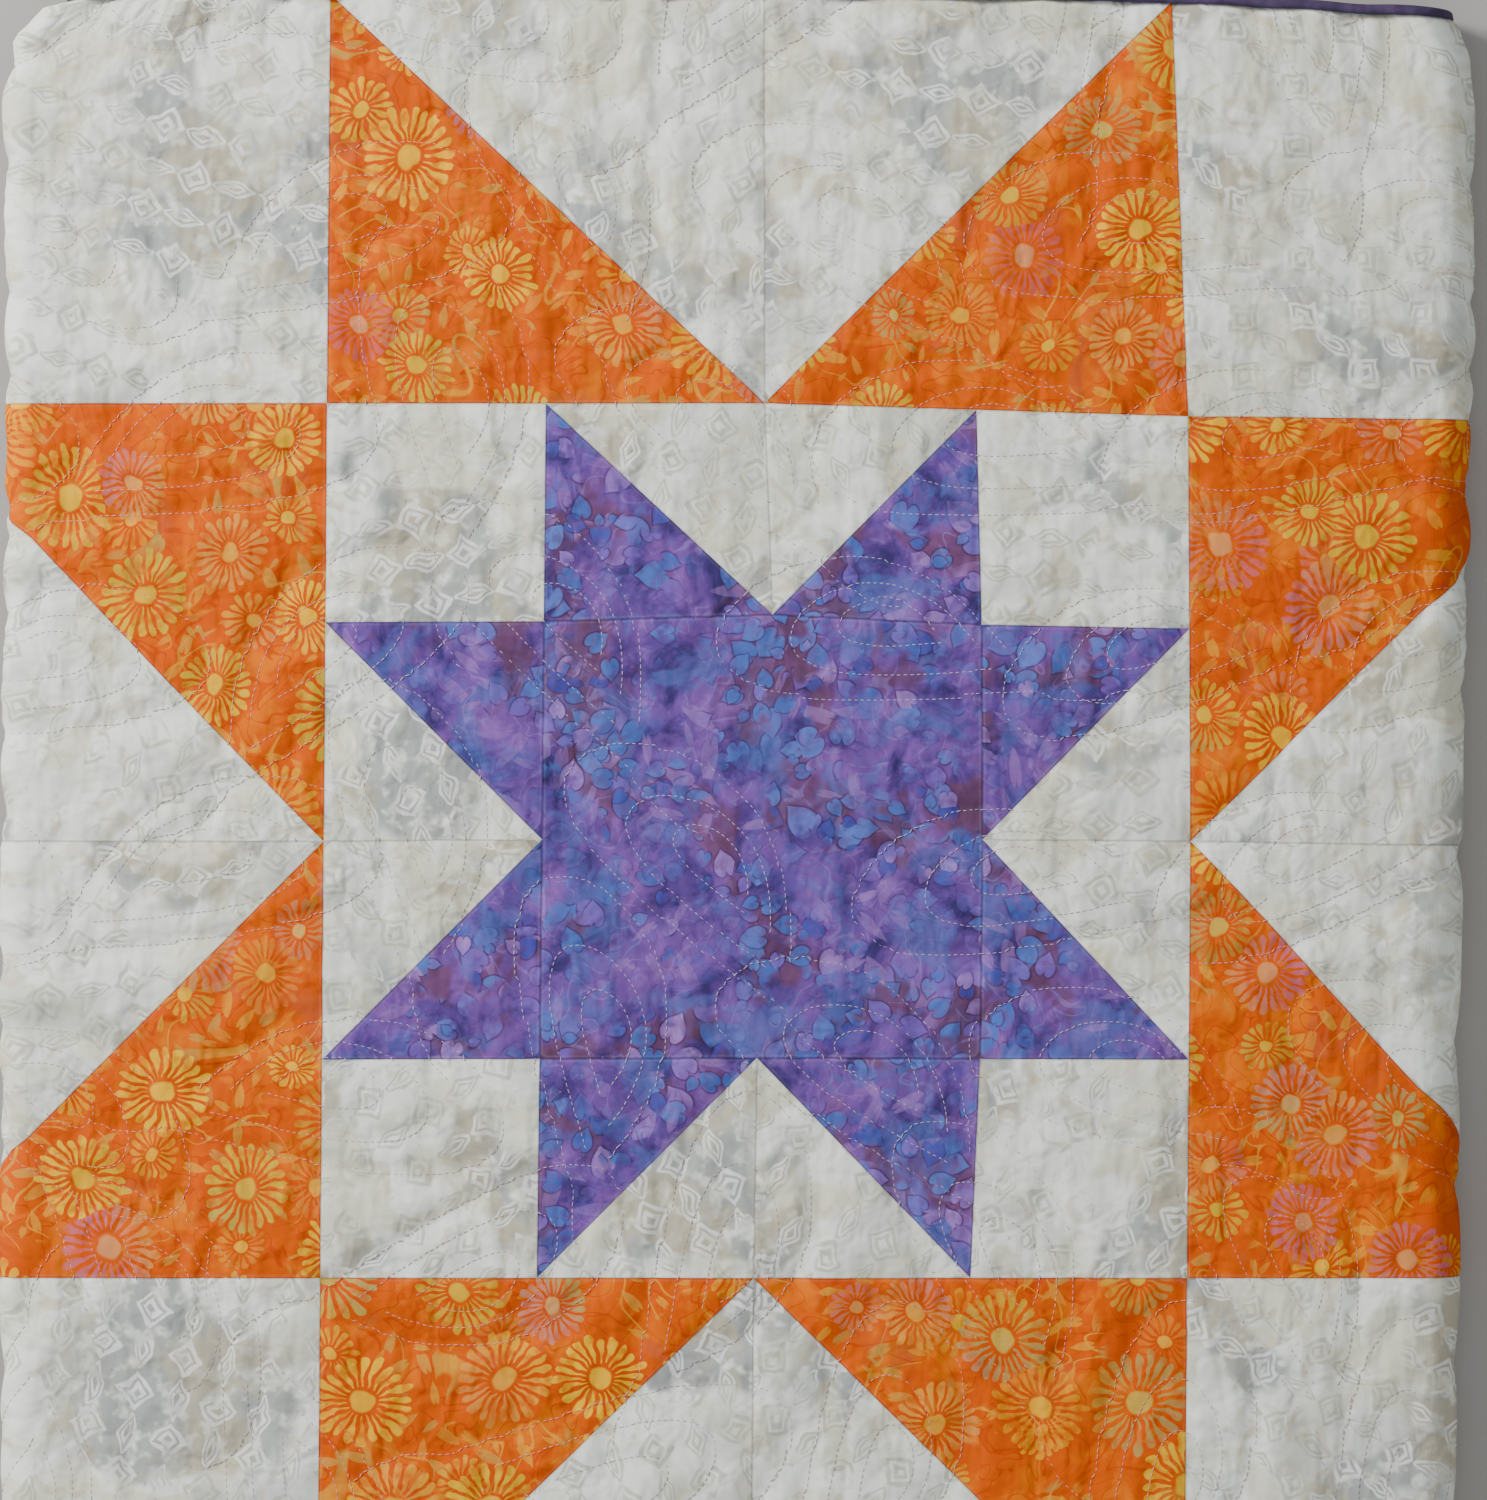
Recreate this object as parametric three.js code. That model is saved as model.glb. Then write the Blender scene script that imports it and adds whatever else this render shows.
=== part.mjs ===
// A pieced and quilted blanket, about 1.49 m wide and 1.22 m long, folded in half with that fold at the
// foot and then in thirds as a letter is. Millimetres, +Z up, the bound head edge towards +Y, the
// underside of the packet on z = 0. One third is tucked inside, one lies under, and the star shows on top.
import * as THREE from 'three';

// The cloth and its layers
const CLOTH = 5; // front, batting and back quilted together
const HALF_GAP = 1; // between the two halves of the quilt, inside a third
const STACK_GAP = 1; // between one third and the next
const HALF_THIRD = CLOTH + HALF_GAP / 2; // from the middle of a third to its outer face
const PITCH = 2 * HALF_THIRD + STACK_GAP; // from the middle of one third to the middle of the next

// The packet as it lies
const HALF_WIDTH = 263.6;
const HEAD_SEAM = 303.3; // where the head binding is sewn on
const FOOT = -305; // outside of the half fold
const FOOT_CENTRE = FOOT + HALF_THIRD;
const LEVEL = { under: HALF_THIRD, tucked: HALF_THIRD + PITCH, top: HALF_THIRD + 2 * PITCH };
const LEFT_TURN = { x: -HALF_WIDTH + HALF_THIRD + PITCH / 2, radius: PITCH / 2 };
const RIGHT_TURN = { x: HALF_WIDTH - HALF_THIRD - PITCH, radius: PITCH };
const TUCKED_END = 218; // free side edge of the third inside
const UNDER_END = -226; // free side edge of the third underneath

// The strips sewn round the edge
const SEW_GAP = 0.3; // clear space between a strip and the cloth
const STRIP_REACH = 2.6; // how far a strip stands out from the cloth

// The section seen from the foot, in the order that the cloth runs. Runs go from x to x at a level, turns
// wrap half a circle round a centre. Steps are shares of the way, so that only what shows is fine.
const EVEN = (n) => Array.from({ length: n + 1 }, (_, i) => i / n);
const SECTION = [
  { name: 'tucked', from: TUCKED_END, to: LEFT_TURN.x, level: LEVEL.tucked, steps: [0, 0.5, 0.85, 1] },
  { name: 'left', turn: LEFT_TURN, level: LEVEL.tucked + PITCH / 2, up: true, steps: EVEN(8) },
  { name: 'top', from: LEFT_TURN.x, to: RIGHT_TURN.x, level: LEVEL.top, steps: EVEN(42) },
  { name: 'right', turn: RIGHT_TURN, level: LEVEL.tucked, up: false, steps: EVEN(9) },
  { name: 'under', from: RIGHT_TURN.x, to: UNDER_END, level: LEVEL.under, steps: [0, 0.5, 0.85, 1] },
];
const SHOWN_ROWS = 50; // rows of points down the face that shows
const HIDDEN_ROWS = [0, 8, 22, 60, 300]; // distance from the head seam of rows on the hidden faces
const FOOT_STEPS = 7; // points round the outside of the half fold

// How the outline departs from a rectangle: what each side is drawn in, at a distance from the head seam
const SIDES = [
  { from: 0, left: 26, right: 9 },
  { from: 4, left: 14, right: 5.6 },
  { from: 16, left: 5.4, right: 2.2 },
  { from: 36, left: 1.8, right: 0.4 },
  { from: 107, left: 2.4, right: 0 },
  { from: 180, left: 2, right: 1.8 },
  { from: 270, left: 0.7, right: 4.2 },
  { from: 355, left: 0, right: 5.6 },
  { from: 607, left: 0.6, right: 6.2 },
];
const SIDE_REACH = 100; // how far in from a side that drawing in dies away
// and how far the head seam is drawn back, across the packet
const HEAD_LINE = [
  { x: -264, back: 1.5 },
  { x: -230, back: 0.2 },
  { x: 0, back: 0.4 },
  { x: 93, back: 1.6 },
  { x: 128, back: 2.1 },
  { x: 163, back: 3.2 },
  { x: 199, back: 4.9 },
  { x: 234, back: 6.8 },
  { x: 264, back: 7.6 },
];
const HEAD_REACH = 150;
// The upper third doesn't lie quite flat
const SWELL = { height: 1.3, lengthX: 210, lengthY: 170, phase: 0.8, edge: 60 };

// Quilting: plumes, each a pointed loop with two echoes hooked inside it, on a grid that is shaken about
const QUILTING = {
  pitchX: 100,
  pitchY: 76,
  shake: 7, // how far a plume may sit off its place on the grid
  turn: 0.22, // and how far it may point off the flow
  columns: 4, // on each side of the middle
  rows: 5,
  length: 112,
  lengthSpread: 9,
  broad: 0.33, // half-width of a plume as a share of its length
  taper: 1.05, // how sharply it comes to its point
  bend: 0.26, // how far it curves to one side, as a share of its length
  hook: 0.12, // share of the loop left open, where the line hooks inside
  points: 20,
  tail: 34, // the line that runs on from the point towards the next plume
  tailTurn: 0.9,
  tailPoints: 5,
};
// The loop and its echoes: size beside the loop, how far up it an echo starts as a share of what it is
// shorter by, and how deep it is drawn in
const RINGS = [
  { share: 1, start: 0, sunk: 1 },
  { share: 0.64, start: 0.42, sunk: 0.45 },
  { share: 0.33, start: 0.5, sunk: 0.2 },
];
const CHANNEL = { depth: 2.3, halfWidth: 7.5 };

const clamp01 = (v) => Math.min(1, Math.max(0, v));
const smooth = (v) => clamp01(v) ** 2 * (3 - 2 * clamp01(v));

// A value between a table's rows, on a smooth line from row to row
function between(table, key, column, at) {
  const next = table.findIndex((row) => row[key] >= at);
  if (next <= 0) return next === 0 ? table[0][column] : table[table.length - 1][column];
  const [a, b] = [table[next - 1], table[next]];
  return a[column] + (b[column] - a[column]) * smooth((at - a[key]) / (b[key] - a[key]));
}

// The same small number for the same place every time, from 0 to 1
function chance(i, j, n) {
  const v = Math.sin(i * 12.9898 + j * 78.233 + n * 37.719) * 43758.5453;
  return v - Math.floor(v);
}

// The way the plumes point, which turns slowly across the quilt
const flow = (x, y) => 0.7 + 1.25 * Math.sin(x / 150 + 0.4) + 1.2 * Math.cos(y / 135 - 0.7);
// and the side that they curve to
const sideAt = (x, y) => (Math.sin(x / 140 + 1) * Math.cos(y / 150) < 0 ? -1 : 1);

// One plume: out from its point, round its broad end and back, stopping short of the point
function plume(x, y, angle, length, side) {
  const q = QUILTING;
  const points = [];
  for (let i = 0; i <= q.points; i += 1) {
    const t = (2 * Math.PI * (1 - q.hook) * i) / q.points;
    const along = (length * (1 - Math.cos(t))) / 2;
    const bow = (q.bend * along * along) / length;
    const across = side * (q.broad * length * Math.sin(t) * Math.sin(t / 2) ** q.taper + bow);
    points.push([
      x + along * Math.cos(angle) - across * Math.sin(angle),
      y + along * Math.sin(angle) + across * Math.cos(angle),
    ]);
  }
  return points;
}

// The line that leads from a plume's point back along the flow
function tail(x, y, angle, side) {
  const q = QUILTING;
  const points = [[x, y]];
  const step = q.tail / q.tailPoints;
  for (let i = 1; i <= q.tailPoints; i += 1) {
    const heading = angle + Math.PI + (side * q.tailTurn * i) / q.tailPoints;
    const [px, py] = points[i - 1];
    points.push([px + step * Math.cos(heading), py + step * Math.sin(heading)]);
  }
  return points;
}

// Every quilting line on the third that shows, as it lies flat
function quiltingLines() {
  const q = QUILTING;
  const lines = [];
  for (let i = -q.columns; i <= q.columns; i += 1) {
    for (let j = -q.rows; j <= q.rows; j += 1) {
      const x = (i + (j % 2 ? 0.5 : 0)) * q.pitchX + (chance(i, j, 1) - 0.5) * 2 * q.shake;
      const y = j * q.pitchY + (chance(i, j, 2) - 0.5) * 2 * q.shake;
      const angle = flow(x, y) + (chance(i, j, 3) - 0.5) * 2 * q.turn;
      const side = sideAt(x, y);
      const length = q.length + (chance(i, j, 4) - 0.5) * 2 * q.lengthSpread;
      const [px, py] = [x - (length / 2) * Math.cos(angle), y - (length / 2) * Math.sin(angle)];
      for (const { share, start, sunk } of RINGS) {
        const inset = (1 - share) * length * start;
        const [ex, ey] = [px + inset * Math.cos(angle), py + inset * Math.sin(angle)];
        lines.push({ points: plume(ex, ey, angle, length * share, side), sunk });
      }
      lines.push({ points: tail(px, py, angle, side), sunk: 1 });
    }
  }
  return lines;
}
const LINES = quiltingLines();

// How deep the quilting draws the face in, at a place on the flat third
function channel(u, y) {
  const far = 3 * CHANNEL.halfWidth;
  let deepest = 0;
  for (const { points, sunk } of LINES) {
    for (let i = 1; i < points.length; i += 1) {
      const [[ax, ay], [bx, by]] = [points[i - 1], points[i]];
      if (Math.min(ax, bx) - far > u || Math.max(ax, bx) + far < u) continue;
      if (Math.min(ay, by) - far > y || Math.max(ay, by) + far < y) continue;
      const [dx, dy] = [bx - ax, by - ay];
      const t = clamp01(((u - ax) * dx + (y - ay) * dy) / (dx * dx + dy * dy));
      const near = (u - ax - t * dx) ** 2 + (y - ay - t * dy) ** 2;
      deepest = Math.max(deepest, sunk * Math.exp(-near / CHANNEL.halfWidth ** 2));
    }
  }
  return CHANNEL.depth * deepest;
}

// The middle line of the section: place, outward normal, heading, distance along the flat cloth from
// the middle of the top run, how much of the quilting shows there, and how much of the drawing in
function sectionStations() {
  const list = [];
  for (const part of SECTION) {
    for (const share of part.steps) {
      const first = list.length > 0 && share === 0;
      if (first) continue;
      if (part.turn) {
        const { x, radius } = part.turn;
        const swing = Math.PI * share;
        const start = part.up ? -Math.PI / 2 : Math.PI / 2;
        const a = start - swing;
        const arc = radius * swing;
        list.push({
          x: x + radius * Math.cos(a),
          z: part.level + radius * Math.sin(a),
          normal: [Math.cos(a), Math.sin(a)],
          heading: [Math.sin(a), -Math.cos(a)],
          u: part.up ? x - radius * Math.PI + arc : x + arc,
          shows: part.up ? smooth(share * 2.2) : smooth((1 - share) * 2.2),
          drawn: 1,
        });
      } else {
        const x = part.from + (part.to - part.from) * share;
        const way = Math.sign(part.to - part.from);
        list.push({
          x,
          z: part.level,
          normal: [0, way],
          heading: [way, 0],
          u: x,
          shows: part.name === 'top' ? 1 : 0,
          drawn: { tucked: smooth(share), top: 1, under: 1 - smooth(share) }[part.name],
        });
      }
    }
  }
  return list;
}
const STATIONS = sectionStations();

// A point of the quilt: at a station, a distance from the foot, an offset from the third's middle and a
// way past the end of the section, drawn in to the packet's outline
function place(station, y, offset, past = 0) {
  const x = station.x + station.normal[0] * offset + station.heading[0] * past;
  const z = station.z + station.normal[1] * offset + station.heading[1] * past;
  const from = Math.max(0, HEAD_SEAM - y);
  const left = between(SIDES, 'from', 'left', from) * (1 - smooth((x + HALF_WIDTH) / SIDE_REACH));
  const right = between(SIDES, 'from', 'right', from) * (1 - smooth((HALF_WIDTH - x) / SIDE_REACH));
  const back = between(HEAD_LINE, 'x', 'back', x) * (1 - smooth(from / HEAD_REACH));
  const edge = Math.min(x - LEFT_TURN.x, RIGHT_TURN.x - x);
  const wave =
    Math.sin((2 * Math.PI * x) / SWELL.lengthX + SWELL.phase) * Math.cos((2 * Math.PI * y) / SWELL.lengthY);
  const lift = station.shows * smooth(edge / SWELL.edge) * SWELL.height * (0.5 + 0.5 * wave);
  return [x + station.drawn * (left - right), y - back, z + lift];
}

// The cloth's section across the half fold: the half that shows, the fold at the foot, the half beneath
function clothProfile() {
  const rim = [];
  const length = HEAD_SEAM - FOOT_CENTRE;
  for (let i = 0; i <= SHOWN_ROWS; i += 1) {
    rim.push({ y: HEAD_SEAM - (length * i) / SHOWN_ROWS, offset: HALF_THIRD, quilted: 1 });
  }
  for (let i = 1; i < FOOT_STEPS; i += 1) {
    const a = Math.PI / 2 + (Math.PI * i) / FOOT_STEPS;
    rim.push({
      y: FOOT_CENTRE + HALF_THIRD * Math.cos(a),
      offset: HALF_THIRD * Math.sin(a),
      quilted: clamp01(Math.sin(a)),
    });
  }
  const hidden = HIDDEN_ROWS.map((d) => HEAD_SEAM - d);
  const face = (offset, headFirst) => {
    const rows = [...hidden, FOOT_CENTRE];
    return (headFirst ? rows : rows.reverse()).map((y) => ({ y, offset, quilted: 0 }));
  };
  rim.push(...face(-HALF_THIRD, false), ...face(-HALF_GAP / 2, true));
  rim.push({ y: FOOT_CENTRE - HALF_GAP / 2, offset: 0, quilted: 0 });
  rim.push(...face(HALF_GAP / 2, false));
  return rim;
}

// A closed surface from rings of the same number of points, capped at both ends by a flat outline
function closedSweep(rings, outline) {
  const count = outline.length;
  const points = rings.flat();
  const triangles = [];
  for (let j = 0; j + 1 < rings.length; j += 1) {
    for (let k = 0; k < count; k += 1) {
      const [a, b] = [j * count + k, j * count + ((k + 1) % count)];
      triangles.push([a, b, a + count], [b, b + count, a + count]);
    }
  }
  const flat = outline.map(([p, q]) => new THREE.Vector2(p, q));
  const way = Math.sign(THREE.ShapeUtils.area(flat));
  const last = (rings.length - 1) * count;
  for (const [a, b, c] of THREE.ShapeUtils.triangulateShape([...flat], [])) {
    const same = Math.sign(THREE.ShapeUtils.area([flat[a], flat[b], flat[c]])) === way;
    const [p, q] = same ? [b, c] : [c, b];
    triangles.push([a, q, p], [last + a, last + p, last + q]);
  }
  return outward(points, triangles);
}

// Turns the triangles over if they enclose a negative volume, and the end caps with them
function outward(points, triangles) {
  const volume = (list) =>
    list.reduce((sum, [a, b, c]) => {
      const [p, q, r] = [a, b, c].map((i) => new THREE.Vector3(...points[i]));
      return sum + p.dot(q.cross(r)) / 6;
    }, 0);
  const facing = volume(triangles) < 0 ? triangles.map(([a, b, c]) => [a, c, b]) : triangles;
  const geometry = new THREE.BufferGeometry();
  geometry.setAttribute('position', new THREE.Float32BufferAttribute(points.flat(), 3));
  geometry.setIndex(facing.flat());
  geometry.computeVertexNormals();
  return geometry;
}

function quiltedCloth() {
  const rim = clothProfile();
  const rings = STATIONS.map((station) =>
    rim.map(({ y, offset, quilted }) => {
      const drawn = quilted * station.shows > 0 ? quilted * station.shows * channel(station.u, y) : 0;
      return place(station, y, offset - drawn);
    }),
  );
  return closedSweep(rings, rim.map(({ y, offset }) => [y, offset]));
}

// A strip's own section: flat against the cloth, rounded outside
const STRIP_SECTION = [
  { across: -0.5, reach: 0 },
  { across: -0.47, reach: 0.5 },
  { across: -0.3, reach: 0.9 },
  { across: 0, reach: 1 },
  { across: 0.3, reach: 0.9 },
  { across: 0.47, reach: 0.5 },
  { across: 0.5, reach: 0 },
].map(({ across, reach }) => ({ across: across * CLOTH, reach: SEW_GAP + reach * STRIP_REACH }));

// The strip on an end edge, along the whole section, on the outer half of the quilt or the inner one
function headBinding(half) {
  const middle = (half * (CLOTH + HALF_GAP)) / 2;
  const rings = STATIONS.map((station) =>
    STRIP_SECTION.map(({ across, reach }) => place(station, HEAD_SEAM + reach, middle + across)),
  );
  return closedSweep(rings, STRIP_SECTION.map(({ across, reach }) => [reach, across]));
}

// The strip on a side edge, from the head down one half, round the half fold and back up the other
function sideBinding(station, way) {
  const middle = (CLOTH + HALF_GAP) / 2;
  const top = HEAD_SEAM + SEW_GAP + STRIP_REACH;
  const rows = [top, ...HIDDEN_ROWS.map((d) => HEAD_SEAM - d), FOOT_CENTRE];
  const path = rows.map((y) => ({ y, offset: middle, out: [0, 1] }));
  for (let i = 1; i < FOOT_STEPS; i += 1) {
    const a = Math.PI / 2 + (Math.PI * i) / FOOT_STEPS;
    const out = [Math.cos(a), Math.sin(a)];
    path.push({ y: FOOT_CENTRE + middle * out[0], offset: middle * out[1], out });
  }
  path.push(...[...rows].reverse().map((y) => ({ y, offset: -middle, out: [0, -1] })));
  const rings = path.map(({ y, offset, out }) =>
    STRIP_SECTION.map(({ across, reach }) =>
      place(station, y + across * out[0], offset + across * out[1], way * reach),
    ),
  );
  return closedSweep(rings, STRIP_SECTION.map(({ across, reach }) => [across, reach]));
}

const cloth = new THREE.MeshStandardMaterial({ color: 0xcbc8b8, roughness: 0.95, metalness: 0 });
const binding = new THREE.MeshStandardMaterial({ color: 0x3a3152, roughness: 0.9, metalness: 0 });

const quilt = new THREE.Group();
quilt.name = 'folded_star_quilt';
const pieces = [
  { name: 'quilted_cloth', geometry: quiltedCloth(), material: cloth },
  { name: 'head_binding_top', geometry: headBinding(1), material: binding },
  { name: 'head_binding_under', geometry: headBinding(-1), material: binding },
  { name: 'side_binding_tucked', geometry: sideBinding(STATIONS[0], -1), material: binding },
  { name: 'side_binding_under', geometry: sideBinding(STATIONS[STATIONS.length - 1], 1), material: binding },
];
for (const { name, geometry, material } of pieces) {
  const mesh = new THREE.Mesh(geometry, material);
  mesh.name = name;
  quilt.add(mesh);
}

// The origin is the middle of the packet's footprint, on the ground
const box = new THREE.Box3().setFromObject(quilt);
const middle = box.getCenter(new THREE.Vector3());
quilt.position.set(-middle.x, -middle.y, -box.min.z);

export default quilt;
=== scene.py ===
"""A pieced star quilt, folded in half and then in thirds, dressed over its CAD solids."""

import itertools
import math

import bmesh
import bpy
import numpy as np
from bpy.props import FloatProperty, FloatVectorProperty, IntProperty, PointerProperty
from bpy.types import Operator, Panel, PropertyGroup
from mathutils import Matrix, Vector, noise
from mathutils.bvhtree import BVHTree
from mathutils.kdtree import KDTree


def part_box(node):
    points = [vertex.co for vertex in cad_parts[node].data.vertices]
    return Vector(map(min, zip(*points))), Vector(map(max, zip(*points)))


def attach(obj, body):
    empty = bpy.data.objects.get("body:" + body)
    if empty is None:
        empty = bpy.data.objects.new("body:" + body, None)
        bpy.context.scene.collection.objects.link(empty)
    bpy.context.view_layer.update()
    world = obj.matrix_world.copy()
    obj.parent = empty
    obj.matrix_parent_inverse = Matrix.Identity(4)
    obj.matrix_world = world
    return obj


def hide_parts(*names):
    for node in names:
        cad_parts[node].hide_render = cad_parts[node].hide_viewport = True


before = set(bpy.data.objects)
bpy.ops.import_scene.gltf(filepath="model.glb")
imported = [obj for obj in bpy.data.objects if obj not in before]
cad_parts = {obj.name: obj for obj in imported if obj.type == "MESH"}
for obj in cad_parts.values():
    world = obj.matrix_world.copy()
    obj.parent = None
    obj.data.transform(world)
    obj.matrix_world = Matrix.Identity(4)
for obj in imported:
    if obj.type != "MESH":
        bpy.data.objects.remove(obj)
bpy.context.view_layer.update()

bl_info = {
    "name": "Folded star quilt",
    "version": (1, 0, 0),
    "blender": (4, 5, 0),
    "location": "View3D > Sidebar > Quilt",
    "description": "Cloth, stitches, binding and studio for a folded star quilt",
    "category": "Object",
}

MM = 0.001

# The layers and the packet, as in the CAD, in metres
CLOTH = 5 * MM
HALF_GAP = 1 * MM
STACK_GAP = 1 * MM
HALF_THIRD = CLOTH + HALF_GAP / 2
PITCH = 2 * HALF_THIRD + STACK_GAP
HALF_WIDTH = 263.6 * MM
HEAD_SEAM = 303.3 * MM
FOOT_CENTRE = -305 * MM + HALF_THIRD
LEFT_X = -HALF_WIDTH + HALF_THIRD + PITCH / 2
LEFT_RADIUS = PITCH / 2
RIGHT_X = HALF_WIDTH - HALF_THIRD - PITCH
RIGHT_RADIUS = PITCH
TUCKED_END = 218 * MM
UNDER_END = -226 * MM
SEW_GAP = 0.3 * MM
STRIP_REACH = 2.6 * MM
STRIP_LIP = 0.18 * MM
STRIP_LAP = 0.6 * MM

# Where the turns and runs of the section begin and end, along the flat cloth from the middle of the top run
U_TUCKED = LEFT_X - math.pi * LEFT_RADIUS
U_UNDER = RIGHT_X + math.pi * RIGHT_RADIUS
U_FIRST = U_TUCKED - (TUCKED_END - LEFT_X)
U_LAST = U_UNDER + (RIGHT_X - UNDER_END)
# Where the half fold ends, and the cloth itself, along its length
FOLD_RADIUS = (CLOTH + HALF_GAP) / 2
V_INNER = FOOT_CENTRE - math.pi * FOLD_RADIUS
V_LAST = V_INNER - (HEAD_SEAM - FOOT_CENTRE)

# What each side is drawn in, and how far the head seam is drawn back: distance, then the amounts, in mm
SIDE_ROWS = np.array(
    [(0, 26, 9), (4, 14, 5.6), (16, 5.4, 2.2), (36, 1.8, 0.4), (107, 2.4, 0)]
    + [(180, 2, 1.8), (270, 0.7, 4.2), (355, 0, 5.6), (607, 0.6, 6.2)]
)
SIDE_REACH = 100 * MM
HEAD_ROWS = np.array(
    [(-264, 1.5), (-230, 0.2), (0, 0.4), (93, 1.6), (128, 2.1)]
    + [(163, 3.2), (199, 4.9), (234, 6.8), (264, 7.6)]
)
HEAD_REACH = 150 * MM
SWELL = {"height": 1.3 * MM, "x": 210 * MM, "y": 170 * MM, "phase": 0.8, "edge": 60 * MM}
FADE = 2.2  # how soon the quilting fades round the side folds

# Quilting plumes, in mm as in the CAD
PITCH_X, PITCH_Y = 100, 76
SHAKE, TURN = 7, 0.22
COLUMNS, ROWS = 4, 5
PLUME_LENGTH, LENGTH_SPREAD = 112, 9
BROAD, TAPER, BEND, HOOK = 0.33, 1.05, 0.26, 0.12
TAIL, TAIL_TURN = 34, 0.9
RINGS = ((1, 0, 1), (0.64, 0.42, 0.45), (0.33, 0.5, 0.2))  # share, start, sunk
CHANNEL_DEPTH = 2.3 * MM
CHANNEL_HALF_WIDTH = 7.5 * MM
# The channel's broad hollow, and the narrower one at the thread: shares of its depth and width
BROAD_SHARE = 0.62
THREAD_SHARE = 0.16
THREAD_SUNK_SHARE = 0.22
THREAD_WIDTH = 0.4
DOT_STEP = 1.2 * MM

# Beside a seam the face sinks, and nowhere deeper than this
SEAM_DEPTH = 0.5 * MM
SEAM_HALF_WIDTH = 1.5 * MM
DEEPEST = 3.6 * MM

# A stitch's ridge: its height, how deep its ends dip, and its shoulders along it
STITCH_HEIGHT = 0.2 * MM
STITCH_DIP = 0.3
SHOULDERS = (0.24, 0.76)

# The star block: seams of its 4 by 4 units, in mm, and where seams stray from the even grid
BLOCK_X, BLOCK_UNIT, LEAN = 6.9, 153.5, -1.2
BLOCK_Y = (303.3, 158.1, 3.0, -151.7, -301.4)
STRAYS = {(3, 0): (-9, 0), (2, 1): (1.5, 0), (3, 1): (-2, -4.6), (4, 1): (0, -6.3), (4, 2): (0, -2.4)}
SMALL_STRAYS = {(2, 1): (3.5, 2.1), (3, 1): (2, 0), (3, 2): (2.5, 0), (3, 3): (2.5, 0)}
CREAM, ORANGE, PURPLE, BORDER, BACK = range(5)
FLOOR_COLOUR = (0.35, 0.335, 0.315, 1)


def smooth(v):
    v = np.clip(v, 0, 1)
    return v * v * (3 - 2 * v)


def between(table, column, at):
    """Values between a table's rows, on a smooth line from row to row, in metres."""
    keys = table[:, 0] * MM
    at = np.clip(at, keys[0], keys[-1])
    row = np.clip(np.searchsorted(keys, at, side="left"), 1, len(keys) - 1)
    share = smooth((at - keys[row - 1]) / (keys[row] - keys[row - 1]))
    low, high = table[row - 1, column], table[row, column]
    return (low + (high - low) * share) * MM


def section(u):
    """The middle of a third along the flat cloth: x, z, normal, how much quilting and drawing in show."""
    left = (u > U_TUCKED) & (u < LEFT_X)
    right = (u > RIGHT_X) & (u < U_UNDER)
    tucked = u <= U_TUCKED
    under = u >= U_UNDER
    a = np.full_like(u, np.pi / 2)
    a[left] = -np.pi / 2 - (u[left] - U_TUCKED) / LEFT_RADIUS
    a[right] = np.pi / 2 - (u[right] - RIGHT_X) / RIGHT_RADIUS
    a[tucked | under] = -np.pi / 2
    x = u.copy()
    z = np.full_like(u, HALF_THIRD + 2 * PITCH)
    x[left] = LEFT_X + LEFT_RADIUS * np.cos(a[left])
    z[left] = HALF_THIRD + 1.5 * PITCH + LEFT_RADIUS * np.sin(a[left])
    x[right] = RIGHT_X + RIGHT_RADIUS * np.cos(a[right])
    z[right] = HALF_THIRD + PITCH + RIGHT_RADIUS * np.sin(a[right])
    x[tucked] = LEFT_X + U_TUCKED - u[tucked]
    z[tucked] = HALF_THIRD + PITCH
    x[under] = RIGHT_X - (u[under] - U_UNDER)
    z[under] = HALF_THIRD
    shows = np.ones_like(u)
    shows[left] = smooth((u[left] - U_TUCKED) / (LEFT_X - U_TUCKED) * FADE)
    shows[right] = smooth((U_UNDER - u[right]) / (U_UNDER - RIGHT_X) * FADE)
    shows[tucked | under] = 0
    drawn = np.ones_like(u)
    drawn[tucked] = smooth((u[tucked] - U_FIRST) / (U_TUCKED - U_FIRST))
    drawn[under] = 1 - smooth((u[under] - U_UNDER) / (U_LAST - U_UNDER))
    return x, z, np.cos(a), np.sin(a), shows, drawn


def half_fold(v, radius):
    """Where a surface at this radius from the third's middle lies at v: y and offset."""
    b = np.clip((FOOT_CENTRE - v) / FOLD_RADIUS, 0, np.pi)
    y = np.where(v > FOOT_CENTRE, v, FOOT_CENTRE - radius * np.sin(b))
    y = np.where(v < V_INNER, FOOT_CENTRE + V_INNER - v, y)
    return y, radius * np.cos(b)


def origin_shift():
    """From the packet's own middle, as modelled, to the frame's origin."""
    strip_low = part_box("side_binding_under")[0]
    head_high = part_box("head_binding_top")[1]
    x = strip_low[0] - (UNDER_END - SEW_GAP - STRIP_REACH)
    y = head_high[1] - (HEAD_SEAM + SEW_GAP + STRIP_REACH - HEAD_ROWS[1][1] * MM)
    return x, y


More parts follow.
